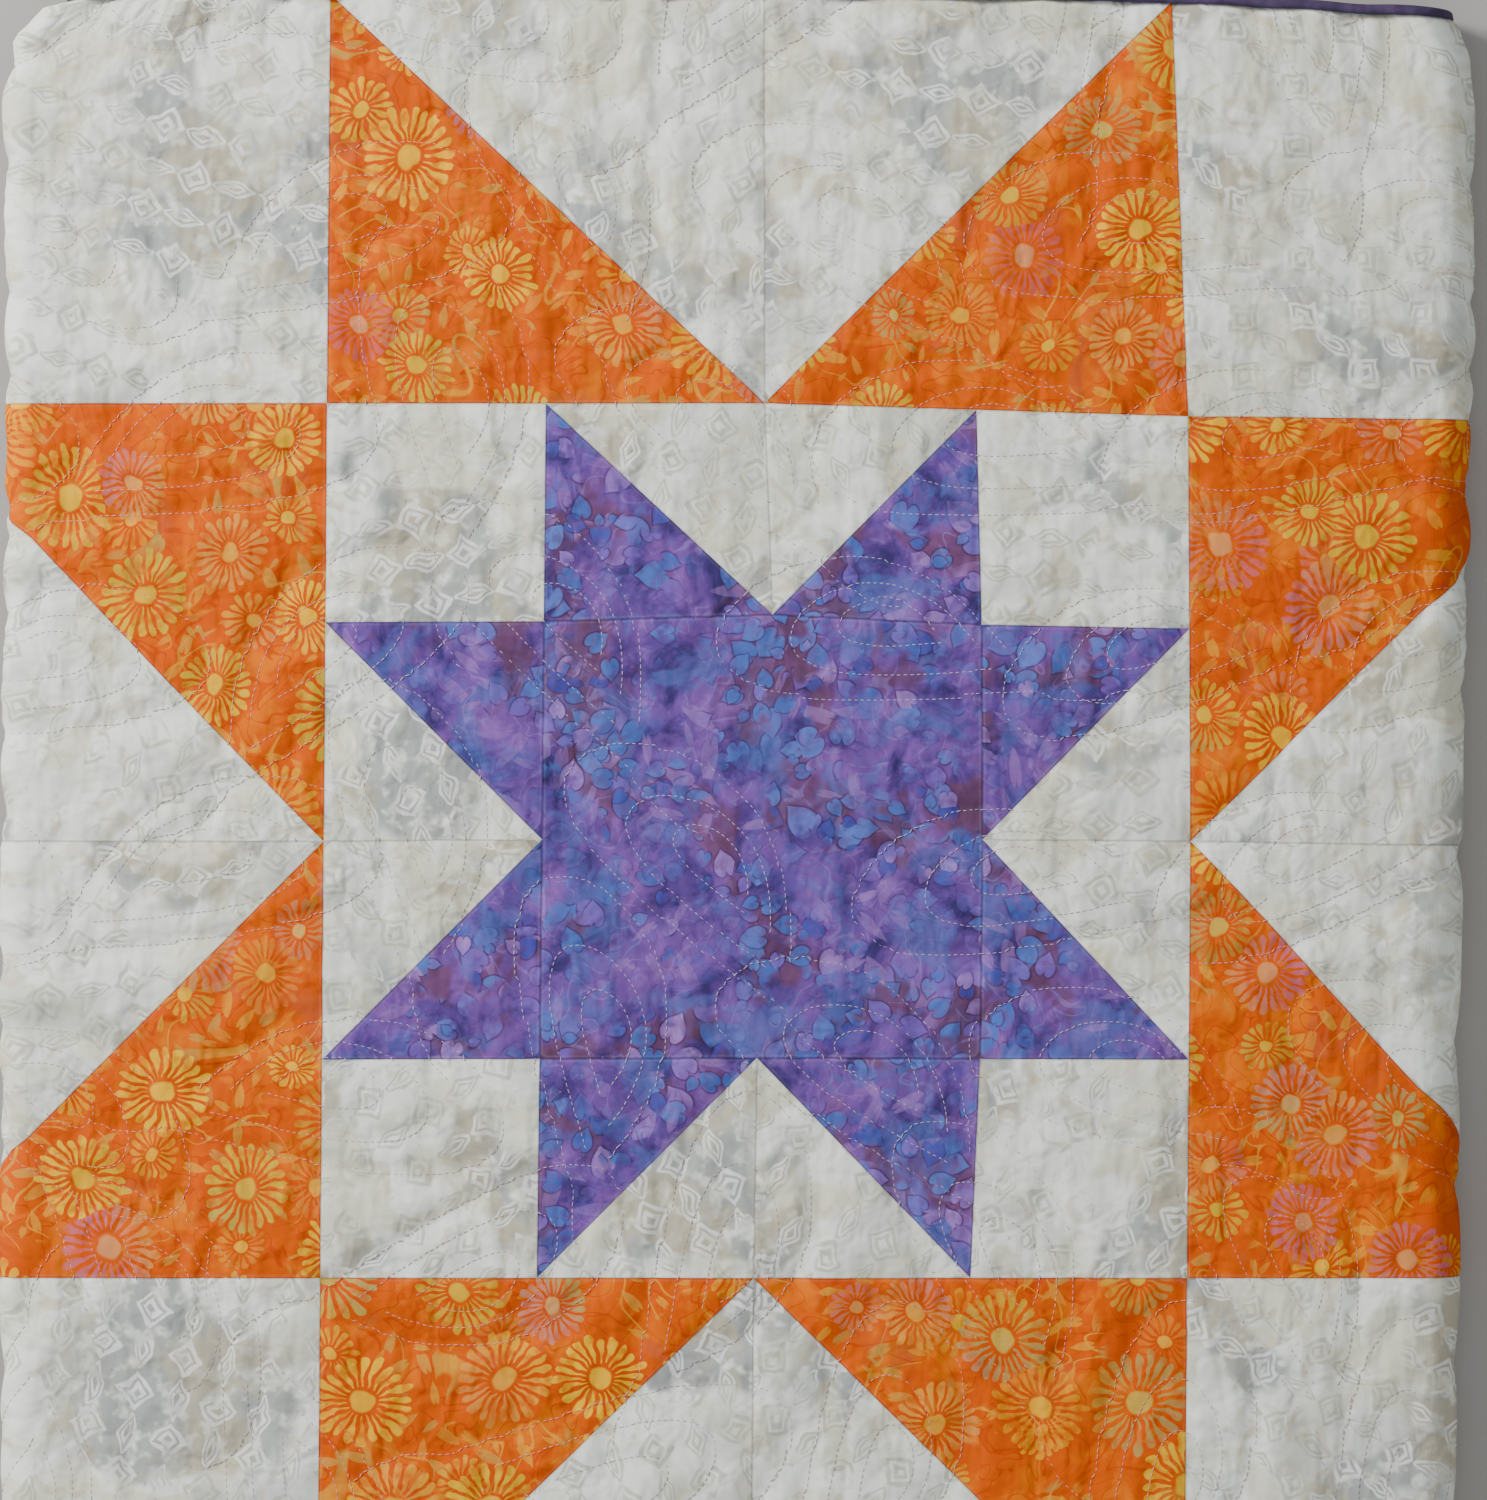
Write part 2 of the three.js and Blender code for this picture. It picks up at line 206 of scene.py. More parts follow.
def place(u, y, offset, past=0.0):
    """Points at section places u, lengths y, offsets from the third's middle and ways past its end."""
    x, z, nx, nz, shows, drawn = section(u)
    px = x + nx * offset + nz * past
    pz = z + nz * offset - nx * past
    start = np.maximum(0, HEAD_SEAM - y)
    left = between(SIDE_ROWS, 1, start) * (1 - smooth((px + HALF_WIDTH) / SIDE_REACH))
    right = between(SIDE_ROWS, 2, start) * (1 - smooth((HALF_WIDTH - px) / SIDE_REACH))
    back = between(HEAD_ROWS, 1, px) * (1 - smooth(start / HEAD_REACH))
    edge = np.minimum(px - LEFT_X, RIGHT_X - px)
    wave = np.sin(2 * np.pi * px / SWELL["x"] + SWELL["phase"]) * np.cos(2 * np.pi * y / SWELL["y"])
    lift = shows * smooth(edge / SWELL["edge"]) * SWELL["height"] * (0.5 + 0.5 * wave)
    shift = origin_shift()
    return np.stack([px + drawn * (left - right) + shift[0], y - back + shift[1], pz + lift], axis=-1)


def chance(i, j, n):
    """A number from 0 to 1 that depends on three others alone."""
    v = math.sin(i * 12.9898 + j * 78.233 + n * 37.719) * 43758.5453
    return v - math.floor(v)


def plume(x, y, angle, length, side, steps=44):
    """One pointed loop of quilting, in mm: out from its point, round its broad end and back."""
    points = []
    c = math.cos(angle)
    s = math.sin(angle)
    for i in range(steps + 1):
        t = 2 * math.pi * (1 - HOOK) * i / steps
        along = length * (1 - math.cos(t)) / 2
        bulge = BROAD * length * math.sin(t) * math.sin(t / 2) ** TAPER
        across = side * (bulge + BEND * along * along / length)
        points.append((x + along * c - across * s, y + along * s + across * c))
    return points


def tail(x, y, angle, side, steps=10):
    """The curve that leads away from a plume's point."""
    points = [(x, y)]
    for i in range(1, steps + 1):
        heading = angle + math.pi + side * TAIL_TURN * i / steps
        px, py = points[-1]
        points.append((px + TAIL / steps * math.cos(heading), py + TAIL / steps * math.sin(heading)))
    return points


def quilting_lines():
    """Each plume's rings and its tail, as (points, sunk), in metres on the flat third."""
    lines = []
    for i in range(-COLUMNS, COLUMNS + 1):
        for j in range(-ROWS, ROWS + 1):
            x = (i + (0.5 if j % 2 else 0)) * PITCH_X + (chance(i, j, 1) - 0.5) * 2 * SHAKE
            y = j * PITCH_Y + (chance(i, j, 2) - 0.5) * 2 * SHAKE
            flow = 0.7 + 1.25 * math.sin(x / 150 + 0.4) + 1.2 * math.cos(y / 135 - 0.7)
            angle = flow + (chance(i, j, 3) - 0.5) * 2 * TURN
            side = -1 if math.sin(x / 140 + 1) * math.cos(y / 150) < 0 else 1
            length = PLUME_LENGTH + (chance(i, j, 4) - 0.5) * 2 * LENGTH_SPREAD
            px = x - length / 2 * math.cos(angle)
            py = y - length / 2 * math.sin(angle)
            for share, start, sunk in RINGS:
                inset = (1 - share) * length * start
                ring_x = px + inset * math.cos(angle)
                ring_y = py + inset * math.sin(angle)
                lines.append((plume(ring_x, ring_y, angle, length * share, side), sunk))
            lines.append((tail(px, py, angle, side), 1))
    return [(np.array(points) * MM, sunk) for points, sunk in lines]


def spaced(points, step):
    """Points at an even step along a line."""
    gaps = np.linalg.norm(np.diff(points, axis=0), axis=1)
    along = np.concatenate([[0], np.cumsum(gaps)])
    at = np.arange(step / 2, along[-1], step)
    return np.stack([np.interp(at, along, points[:, k]) for k in range(2)], axis=-1)


def channel(u, y):
    """How deep the quilting draws the face in, in metres."""
    depth = np.zeros_like(u)
    near_face = (u > U_TUCKED - 20 * MM) & (u < U_UNDER + 20 * MM)
    for _, _, sunk in RINGS:
        dots = np.concatenate([spaced(p, DOT_STEP) for p, s in QUILTING if s == sunk])
        tree = KDTree(len(dots))
        for n, (a, b) in enumerate(dots):
            tree.insert((a, b, 0), n)
        tree.balance()
        far = np.full_like(u, 1.0)
        for n in np.nonzero(near_face)[0]:
            far[n] = tree.find((u[n], y[n], 0))[2]
        wide = sunk * np.exp(-((far / CHANNEL_HALF_WIDTH) ** 2))
        narrow = np.exp(-((far / (THREAD_WIDTH * CHANNEL_HALF_WIDTH)) ** 2))
        at_thread = (THREAD_SHARE + THREAD_SUNK_SHARE * sunk) * narrow
        depth = np.maximum(depth, CHANNEL_DEPTH * (BROAD_SHARE * wide + at_thread))
    return depth


QUILTING = quilting_lines()


def on_bend(start, middle, end, share):
    """A place on the line of two straight pieces through three points."""
    return start.lerp(middle, 2 * share) if share < 0.5 else middle.lerp(end, 2 * share - 1)


def block_nodes():
    """The seams' crossings on the flat cloth, in metres: the large star's, then the small star's."""
    large = {}
    small = {}
    for i, j in itertools.product(range(5), repeat=2):
        dx, dy = STRAYS.get((i, j), (0, 0))
        x = BLOCK_X + (i - 2) * BLOCK_UNIT + (j - 2) * LEAN + dx
        large[i, j] = Vector((x, BLOCK_Y[j] + dy)) * MM
    for i, j in itertools.product(range(5), repeat=2):
        s = i / 4
        t = j / 4
        top, low = (on_bend(*(large[n, row] for n in (1, 2, 3)), s) for row in (1, 3))
        left, right = (on_bend(*(large[column, n] for n in (1, 2, 3)), t) for column in (1, 3))
        corners = large[1, 1].lerp(large[3, 1], s).lerp(large[1, 3].lerp(large[3, 3], s), t)
        at = top.lerp(low, t) + left.lerp(right, s) - corners
        small[i, j] = at + Vector(SMALL_STRAYS.get((i, j), (0, 0))) * MM
    return large, small


def star_patches(nodes, star, ground):
    """The patches of a star block round its middle square: corner squares and two-colour squares."""
    patches = []
    for turn in range(4):

        def node(i, j):
            for _ in range(turn):
                i, j = 4 - j, i
            return nodes[i, j]

        patches.append((ground, [node(0, 0), node(1, 0), node(1, 1), node(0, 1)]))
        patches.append((star, [node(1, 0), node(2, 1), node(1, 1)]))
        patches.append((ground, [node(1, 0), node(2, 0), node(2, 1)]))
        patches.append((star, [node(3, 0), node(3, 1), node(2, 1)]))
        patches.append((ground, [node(3, 0), node(2, 1), node(2, 0)]))
    return patches


def block_patches():
    """Every patch of the face, as its fabric and its corners."""
    large, small = block_nodes()
    patches = star_patches(large, ORANGE, CREAM) + star_patches(small, PURPLE, CREAM)
    middle = [(1, 1), (2, 1), (3, 1), (3, 2), (3, 3), (2, 3), (1, 3), (1, 2)]
    patches.append((PURPLE, [small[at] for at in middle]))
    return patches


def seam_lines(patches):
    """Each seam once, from the patches' sides."""
    seams = {}
    for _, corners in patches:
        for a, b in zip(corners, corners[1:] + corners[:1]):
            key = frozenset((round(p.x, 6), round(p.y, 6)) for p in (a, b))
            seams[key] = (a, b)
    return list(seams.values())


def inside(corners, x, y):
    """Which of many points lie in a convex patch."""
    hit_low = np.ones_like(x, bool)
    hit_high = np.ones_like(x, bool)
    for a, b in zip(corners, corners[1:] + corners[:1]):
        turn = (b.x - a.x) * (y - a.y) - (b.y - a.y) * (x - a.x)
        hit_low &= turn <= 0
        hit_high &= turn >= 0
    return hit_low | hit_high


def away_from(seams, x, y):
    """Distance from many points to the nearest seam."""
    near = np.full_like(x, 1.0)
    for a, b in seams:
        dx = b.x - a.x
        dy = b.y - a.y
        t = np.clip(((x - a.x) * dx + (y - a.y) * dy) / (dx * dx + dy * dy), 0, 1)
        near = np.minimum(near, np.hypot(x - a.x - t * dx, y - a.y - t * dy))
    return near


def runs(*stretches):
    """Places along the cloth from (from, to, steps) stretches that follow on from each other."""
    places = [stretches[0][0]]
    for start, end, steps in stretches:
        places += [start + (end - start) * n / steps for n in range(1, steps + 1)]
    return np.array(places)


def flat_cloth(pitch):
    """A bmesh grid of the whole flat cloth, fine where it shows, with its seams cut in."""
    across = runs(
        (U_FIRST, U_TUCKED - 40 * MM, 3),
        (U_TUCKED - 40 * MM, U_TUCKED, 4),
        (U_TUCKED, LEFT_X, 14),
        (LEFT_X, RIGHT_X, round((RIGHT_X - LEFT_X) / pitch)),
        (RIGHT_X, U_UNDER, 20),
        (U_UNDER, U_UNDER + 40 * MM, 4),
        (U_UNDER + 40 * MM, U_LAST, 3),
    )
    down = runs(
        (HEAD_SEAM, FOOT_CENTRE, round((HEAD_SEAM - FOOT_CENTRE) / pitch)),
        (FOOT_CENTRE, V_INNER, 9),
        (V_INNER, V_LAST, 5),
    )
    bm = bmesh.new()
    bmesh.ops.create_grid(bm, x_segments=len(across) - 1, y_segments=len(down) - 1, size=1)
    for v in bm.verts:
        i = round((v.co.x + 1) / 2 * (len(across) - 1))
        j = round((1 - v.co.y) / 2 * (len(down) - 1))
        v.co = (across[i], down[j], 0)
    return bm


def cut_seams(bm, seams):
    """Cuts the flat grid along each seam, in the faces that the seam crosses."""
    for a, b in seams:
        way = (b - a).normalized()
        side = Vector((-way.y, way.x))
        length = (b - a).length
        faces = []
        for f in bm.faces:
            loops = [v.co.xy - a for v in f.verts]
            across = [p.dot(side) for p in loops]
            if min(across) > 1e-5 or max(across) < -1e-5:
                continue
            along = [p.dot(way) for p in loops]
            if max(along) > 1e-5 and min(along) < length - 1e-5:
                faces.append(f)
        parts = set(faces)
        for f in faces:
            parts.update(f.edges)
            parts.update(f.verts)
        plane = {"plane_co": (a.x, a.y, 0), "plane_no": (side.x, side.y, 0)}
        bmesh.ops.bisect_plane(bm, geom=list(parts), dist=0.12 * MM, **plane)


def pucker(u, y):
    """Small uneven creases that the stitching draws up, mostly along the length, in metres."""
    out = np.empty_like(u)
    for n, (a, b) in enumerate(zip(u, y)):
        fine = noise.noise(Vector((a * 125 + 0.8 * noise.noise(Vector((b * 30, a * 9, 3))), b * 26, 0)))
        broad = noise.noise(Vector((a * 45, b * 38, 7.3)))
        out[n] = 0.62 * fine + 0.5 * broad
    return out


def mark_patches(bm, patches):
    """Gives each face its fabric, the patch's own shift and turn of the print, and its flat place."""
    print_at = bm.faces.layers.float_vector.new("patch")
    flat = bm.loops.layers.uv.new("flat")
    centres = np.array([f.calc_center_median()[:2] for f in bm.faces])
    owner = np.full(len(centres), -1)
    for n, (_, corners) in enumerate(patches):
        owner[inside(corners, centres[:, 0], centres[:, 1])] = n
    for f, n in zip(bm.faces, owner):
        n = int(n)
        f.material_index = patches[n][0] if n >= 0 else BORDER
        f.smooth = True
        f[print_at] = (chance(n, 1, 6) * 900, chance(n, 2, 7) * 900, chance(n, 3, 8) * 6.28)
        for loop in f.loops:
            loop[flat].uv = loop.vert.co.xy


def fold(bm, seams, puckers):
    """Moves every point from the flat cloth to its place in the packet; gives each one's thickness."""
    seam = bm.verts.layers.float.new("seam")
    u = np.array([v.co.x for v in bm.verts])
    v_flat = np.array([v.co.y for v in bm.verts])
    y, offset = half_fold(v_flat, HALF_THIRD)
    shows = section(u)[4] * np.clip(offset / HALF_THIRD, 0, 1)
    from_seam = away_from(seams, u, v_flat)
    drawn = channel(u, v_flat) + SEAM_DEPTH * np.exp(-((from_seam / SEAM_HALF_WIDTH) ** 2))
    drawn += puckers * (0.5 + pucker(u, v_flat))
    drawn = np.clip(drawn, 0, DEEPEST) * shows
    places = place(u, y, offset - drawn)
    for n, v in enumerate(bm.verts):
        v.co = places[n]
        v[seam] = min(from_seam[n] / MM, 8)
    return (CLOTH - drawn) / CLOTH


def finished(name, bm, materials, nodes):
    """Makes the piece from its bmesh, gives it its materials and ties it to the frame."""
    mesh = bpy.data.meshes.new(name)
    bm.to_mesh(mesh)
    bm.free()
    for material in materials:
        mesh.materials.append(material)
    piece = bpy.data.objects.new(name, mesh)
    bpy.context.scene.collection.objects.link(piece)
    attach(piece, "root")
    if nodes:
        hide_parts(*nodes)
    return piece


def strip_tube(rings):
    """A closed tube through rings of points: a bmesh grid wrapped round, welded and capped."""
    count, around = rings.shape[:2]
    bm = bmesh.new()
    bmesh.ops.create_grid(bm, x_segments=count - 1, y_segments=around, size=1)
    for v in bm.verts:
        i = round((v.co.x + 1) / 2 * (count - 1))
        j = round((v.co.y + 1) / 2 * around)
        v.co = rings[i, j % around]
    bmesh.ops.remove_doubles(bm, verts=bm.verts, dist=1e-6)
    bmesh.ops.holes_fill(bm, edges=bm.edges, sides=around)
    bmesh.ops.recalc_face_normals(bm, faces=bm.faces)
    for f in bm.faces:
        f.smooth = len(f.verts) == 4
    return bm


def strip_section():
    """Round the strip's section: across the cloth's thickness and out from its edge, in metres."""
    half = CLOTH / 2 + STRIP_LIP
    front = [(math.sin(a) * half, math.cos(a)) for a in np.linspace(-1.45, 1.45, 13)]
    nose = [(across, SEW_GAP + STRIP_REACH * reach**0.7) for across, reach in front]
    return np.array([(-half, -STRIP_LAP), *nose, (half, -STRIP_LAP)])


def head_strip(half):
    """The strip along the head seam of the outer half of the quilt, or of the inner one."""
    across, reach = strip_section().T
    u = runs(
        (U_FIRST, U_TUCKED, 59),
        (U_TUCKED, LEFT_X, 14),
        (LEFT_X, RIGHT_X, 123),
        (RIGHT_X, U_UNDER, 20),
        (U_UNDER, U_LAST, 59),
    )
    middle = half * (CLOTH + HALF_GAP) / 2
    u_all = np.repeat(u, len(across))
    k = np.tile(np.arange(len(across)), len(u))
    pulled = 0.22 * MM * np.sin(u_all / (7.3 * MM)) * np.sin(u_all / (19 * MM) + 1)
    rings = place(u_all, HEAD_SEAM + reach[k] + pulled * (reach[k] > SEW_GAP), middle + across[k])
    return strip_tube(rings.reshape(len(u), len(across), 3))


def side_strip(u, way):
    """The strip down a side edge, round the half fold and back up."""
    across, reach = strip_section().T
    top = HEAD_SEAM + SEW_GAP + STRIP_REACH
    v = runs(
        (top, FOOT_CENTRE, 89),
        (FOOT_CENTRE, V_INNER, 10),
        (V_INNER, V_INNER - (top - FOOT_CENTRE), 89),
    )
    v_all = np.repeat(v, len(across))
    k = np.tile(np.arange(len(across)), len(v))
    y, offset = half_fold(v_all, FOLD_RADIUS + across[k])
    past = way * np.minimum(reach[k], SEW_GAP + STRIP_REACH)
    rings = place(np.full_like(v_all, u), y, offset, past)
    return strip_tube(rings.reshape(len(v), len(across), 3))


def stitch_mesh(surface, patches, pitch, length, width):
    """All the stitches as one mesh: each a small ridge on the cloth, lying along its quilting line."""
    points = []
    faces = []
    fabric_below = []
    for line, _ in QUILTING:
        dots = spaced(line, pitch)
        if len(dots) < 2:
            continue
        way = np.gradient(dots, axis=0)
        way /= np.linalg.norm(way, axis=1)[:, None]
        ends = np.concatenate([dots - way * length / 2, dots + way * length / 2])
        u, y = ends.T
        shown = (u > U_TUCKED + 6 * MM) & (u < U_UNDER - 12 * MM) & (y > FOOT_CENTRE) & (y < HEAD_SEAM)
        shown = shown[: len(dots)] & shown[len(dots) :]
        on_face = place(u, y, np.full_like(u, HALF_THIRD))
        # Which fabric lies under each stitch, for the thread's painted shade and reflected light
        over = np.full(len(dots), PURPLE)
        for fabric, corners in patches:
            over[inside(corners, *dots.T)] = fabric
        for n in np.nonzero(shown)[0]:
            start, normal, _, _ = surface.find_nearest(Vector(on_face[n]))
            end = surface.find_nearest(Vector(on_face[n + len(dots)]))[0]
            along = end - start
            side = along.cross(normal).normalized() * width / 2
            up = normal * STITCH_HEIGHT
            base = len(points)
            for share in SHOULDERS:
                at = start + along * share
                points.extend((at - side, at + up, at + side))
            points.extend((start - up * STITCH_DIP, end - up * STITCH_DIP))
            fabric_below.extend([float(over[n])] * 8)
            a, b, c, d, e, f, tip, toe = range(base, base + 8)
            faces.extend(((a, d, e, b), (b, e, f, c), (tip, a, b), (tip, b, c), (toe, e, d), (toe, f, e)))
            faces.extend(((a, c, f, d), (tip, c, a), (toe, d, f)))
    mesh = bpy.data.meshes.new("stitches")
    mesh.from_pydata(points, [], faces)
    bm = bmesh.new()
    bm.from_mesh(mesh)
    bpy.data.meshes.remove(mesh)
    below_layer = bm.verts.layers.float.new("over")
    for v, fabric in zip(bm.verts, fabric_below):
        v[below_layer] = fabric
    bmesh.ops.recalc_face_normals(bm, faces=bm.faces)
    for f in bm.faces:
        f.smooth = True
    return bm


def fill(tree, made, inputs):
    """Sets a node's inputs, by name or place: each is a value, or a socket to link."""
    for key, value in inputs.items():
        if isinstance(value, bpy.types.NodeSocket):
            tree.links.new(value, made.inputs[key])
        else:
            made.inputs[key].default_value = value


def node(tree, kind, inputs=None, **settings):
    """A shader node with its settings and its inputs."""
    made = tree.nodes.new(f"ShaderNode{kind}")
    for name, value in settings.items():
        setattr(made, name, value)
    fill(tree, made, inputs or {})
    return made


def calc(tree, operation, *values):
    return node(tree, "Math", dict(enumerate(values)), operation=operation).outputs[0]


def times(tree, first, *others):
    for value in others:
        first = calc(tree, "MULTIPLY", first, value)
    return first


def plus(tree, first, *others):
    for value in others:
        first = calc(tree, "ADD", first, value)
    return first


def away_from_value(tree, value, middle):
    return calc(tree, "ABSOLUTE", calc(tree, "SUBTRACT", value, middle))


def vector(tree, operation, *values):
    """A vector sum; its result is a number for a length, and else a vector."""
    made = node(tree, "VectorMath", dict(enumerate(values)), operation=operation)
    return made.outputs["Value" if operation == "LENGTH" else "Vector"]


def scaled(tree, value, by):
    return node(tree, "VectorMath", {0: value, "Scale": by}, operation="SCALE").outputs["Vector"]


def turned(tree, value, angle):
    """A place turned about the cloth's normal."""
    inputs = {"Vector": value, "Angle": angle}
    return node(tree, "VectorRotate", inputs, rotation_type="Z_AXIS").outputs["Vector"]


def shifted(tree, place_in, x, y):
    return vector(tree, "ADD", place_in, (x, y, 0.0))


def split(tree, value):
    return node(tree, "SeparateXYZ", {"Vector": value}).outputs


def fade(tree, value, low, high, to_low=0.0, to_high=1.0):
    """The value's place between low and high, smoothed at both ends."""
    inputs = {"Value": value, "From Min": low, "From Max": high, "To Min": to_low, "To Max": to_high}
    return node(tree, "MapRange", inputs, interpolation_type="SMOOTHSTEP").outputs["Result"]


def blend(tree, share, a, b, how="MIX"):
    inputs = {"Factor": share, 6: a, 7: b}
    return node(tree, "Mix", inputs, data_type="RGBA", blend_type=how).outputs[2]


def tinted(tree, colour, share, strength, tint):
    """The colour with a tint laid on by a share from 0 to 1."""
    return blend(tree, times(tree, share, strength), colour, (*tint, 1))


def blotched(tree, colour, cloud, low, high, strength, tint):
    """The colour with a tint laid on where a cloud passes from low to high."""
    return tinted(tree, colour, fade(tree, cloud, low, high), strength, tint)


def clouds(tree, place_in, size, detail=3.0, rough=0.55, bend=0.0, space="2D"):
    """Noise whose blotches are about this many millimetres across, from 0 to 1."""
    inputs = {"Vector": place_in, "Scale": 1 / size, "Detail": detail, "Roughness": rough, "Distortion": bend}
    return node(tree, "TexNoise", inputs, noise_dimensions=space).outputs["Fac"]


def clouded(tree, colour, place_in, name):
    """The colour with one of TINT_CLOUDS laid on; gives the cloud too."""
    shift, cloud, low, high, strength, tint = TINT_CLOUDS[name]
    value = clouds(tree, shifted(tree, place_in, *shift), *cloud)
    return blotched(tree, colour, value, low, high, strength, tint), value


def ground_colour(name):
    return (*getattr(bpy.context.scene.quilt_looks, name), 1)


def ridges(tree, place_in, size, width):
    """Thin wandering lines, where a noise passes through its middle."""
    away = away_from_value(tree, clouds(tree, place_in, size, 1, 0.5, 0.6), 0.5)
    return fade(tree, away, 0.4 * width, width, 1.0, 0.0)


def ramp(tree, value, *stops, how="EASE"):
    made = node(tree, "ValToRGB", {"Fac": value})
    made.color_ramp.interpolation = how
    elements = made.color_ramp.elements
    while len(elements) < len(stops):
        elements.new(0.5)
    for element, (at, colour) in zip(elements, stops):
        element.position = at
        element.color = (*colour, 1)
    return made.outputs["Color"]


def outline(tree, value, *points):
    """A curve through given points (in, out)."""
    made = node(tree, "FloatCurve", {"Value": value})
    curve = made.mapping.curves[0]
    curve.points[0].location = points[0]
    curve.points[1].location = points[-1]
    for point in points[1:-1]:
        curve.points.new(*point)
    made.mapping.update()
    return made.outputs["Value"]


def in_cells(tree, place_in, pitch):
    """A place in mm counted in cells of this pitch."""
    cell = node(tree, "CombineXYZ", {0: pitch, 1: pitch, 2: pitch}).outputs[0]
    return vector(tree, "DIVIDE", place_in, cell)


def swayed(tree, place_in, scale, reach):
    """A place moved a little by a soft noise, so that what is drawn there looks drawn by hand."""
    inputs = {"Vector": place_in, "Scale": scale, "Detail": 1.0}
    sway = node(tree, "TexNoise", inputs, noise_dimensions="2D").outputs["Color"]
    return vector(tree, "ADD", place_in, scaled(tree, vector(tree, "SUBTRACT", sway, (0.5, 0.5, 0.5)), reach))


def scattered(tree, spread, uneven):
    """The nearest of scattered points: the way from it, in cells, and its own three chances."""
    inputs = {"Vector": spread, "Scale": 1.0, "Randomness": uneven}
    cell = node(tree, "TexVoronoi", inputs, voronoi_dimensions="2D").outputs
    chances = node(tree, "SeparateColor", {"Color": cell["Color"]}).outputs
    return vector(tree, "SUBTRACT", spread, cell["Position"]), chances


def group(name, inputs, outputs):
    """An empty node group with named sockets; gives it, its inputs and its output node."""
    tree = bpy.data.node_groups.new(name, "ShaderNodeTree")
    for way, sockets in (("INPUT", inputs), ("OUTPUT", outputs)):
        for socket, kind in sockets.items():
            tree.interface.new_socket(socket, in_out=way, socket_type=f"NodeSocket{kind}")
    return tree, tree.nodes.new("NodeGroupInput").outputs, tree.nodes.new("NodeGroupOutput")


def use(tree, group_tree, inputs=None):
    made = tree.nodes.new("ShaderNodeGroup")
    made.node_tree = group_tree
    fill(tree, made, inputs or {})
    return made.outputs


def print_place(tree):
    """Where a face's print is read, in mm: shifted and turned with its patch, and as it lies flat."""
    flat = scaled(tree, node(tree, "UVMap", uv_map="flat").outputs["UV"], 1000.0)
    patch = split(tree, node(tree, "Attribute", attribute_name="patch").outputs["Vector"])
    shift = node(tree, "CombineXYZ", {"X": patch["X"], "Y": patch["Y"]}).outputs["Vector"]
    return vector(tree, "ADD", turned(tree, flat, patch["Z"]), shift), flat


def seam_group():
    """Beside a seam: how dark its painted shadow is, and how strong the painted highlight along the turned
    edge.
    """
    tree, _, result = group("Seam", {}, {"Shadow": "Float", "Edge highlight": "Float"})
    away = node(tree, "Attribute", attribute_name="seam").outputs["Fac"]
    shadow = fade(tree, away, 0.05, 0.6, 1.0, 0.0)
    near = fade(tree, away, 0.35, 0.7)
    past = fade(tree, away, 0.8, 1.5, 1.0, 0.0)
    fill(tree, result, {"Shadow": shadow, "Edge highlight": times(tree, near, past)})
    return tree


def relief_group(name, space):
    """Fine relief, over flat cloth or a strip in space: threads, and the crinkles that washing leaves."""
    tree, given, result = group(name, {"Flat": "Vector"}, {"Normal": "Vector"})
    flat = given["Flat"]
    threads = []
    for angle in (0.0, math.pi / 2):
        inputs = {"Vector": turned(tree, flat, angle), "Scale": 0.85, "Distortion": 0.4, "Detail": 1.0}
        threads.append(node(tree, "TexWave", inputs).outputs["Fac"])
    weave = times(tree, plus(tree, *threads), 0.035)
    stretched = vector(tree, "MULTIPLY", flat, (1.0, 0.32, 1.0))
    crinkle = times(tree, clouds(tree, stretched, 8.5, 1.0, 0.5, 0.2, space), 1.4)
    broad = times(tree, clouds(tree, flat, 14.0, 2.0, 0.5, 0.3, space), 2.4)
    inputs = {"Height": plus(tree, weave, crinkle, broad), "Strength": 1.0, "Distance": MM}
    fill(tree, result, {"Normal": node(tree, "Bump", inputs).outputs["Normal"]})
    return tree


def daisy_group():
    """Scattered daisies: petals, heart, a random share for each flower's tint, and the way out from it."""
    tree, given, result = group(
        "Daisies",
        {"Place": "Vector", "Pitch": "Float", "Radius": "Float", "Petals": "Float"},
        {"Petal": "Float", "Heart": "Float", "Tint": "Float", "Fade": "Float"},
    )
    spread = in_cells(tree, swayed(tree, given["Place"], 0.16, 2.6), given["Pitch"])
    way, chances = scattered(tree, spread, 0.62)
    size = times(tree, given["Radius"], plus(tree, 0.72, times(tree, chances[0], 0.34)))
    spun = turned(tree, scaled(tree, way, given["Pitch"]), times(tree, chances[2], 2 * math.pi))
    oval = vector(tree, "MULTIPLY", spun, (1.0, 1.16, 1.0))
    parts = split(tree, oval)
    out = calc(tree, "DIVIDE", vector(tree, "LENGTH", oval), size)
    angle = times(tree, calc(tree, "ARCTAN2", parts["Y"], parts["X"]), 1 / (2 * math.pi))
    sector = plus(tree, times(tree, angle, given["Petals"]), 100.0)
    off = away_from_value(tree, calc(tree, "FRACT", sector), 0.5)
    own = node(tree, "TexWhiteNoise", {"W": calc(tree, "FLOOR", sector)}, noise_dimensions="1D")
    reach = calc(tree, "DIVIDE", out, plus(tree, 0.86, times(tree, own.outputs["Value"], 0.16)))
    shape = ((0, 0), (0.3, 0), (0.34, 0.16), (0.52, 0.24), (0.78, 0.36), (0.9, 0.34), (0.97, 0.2), (1, 0))
    broad = outline(tree, reach, *shape)
    petal = fade(tree, calc(tree, "SUBTRACT", broad, off), -0.02, 0.07)
    petal = times(tree, petal, fade(tree, reach, 0.97, 1.0, 1.0, 0.0))
    heart = fade(tree, out, 0.19, 0.25, 1.0, 0.0)
    fill(tree, result, {"Petal": petal, "Heart": heart, "Tint": chances[1], "Fade": out})
    return tree


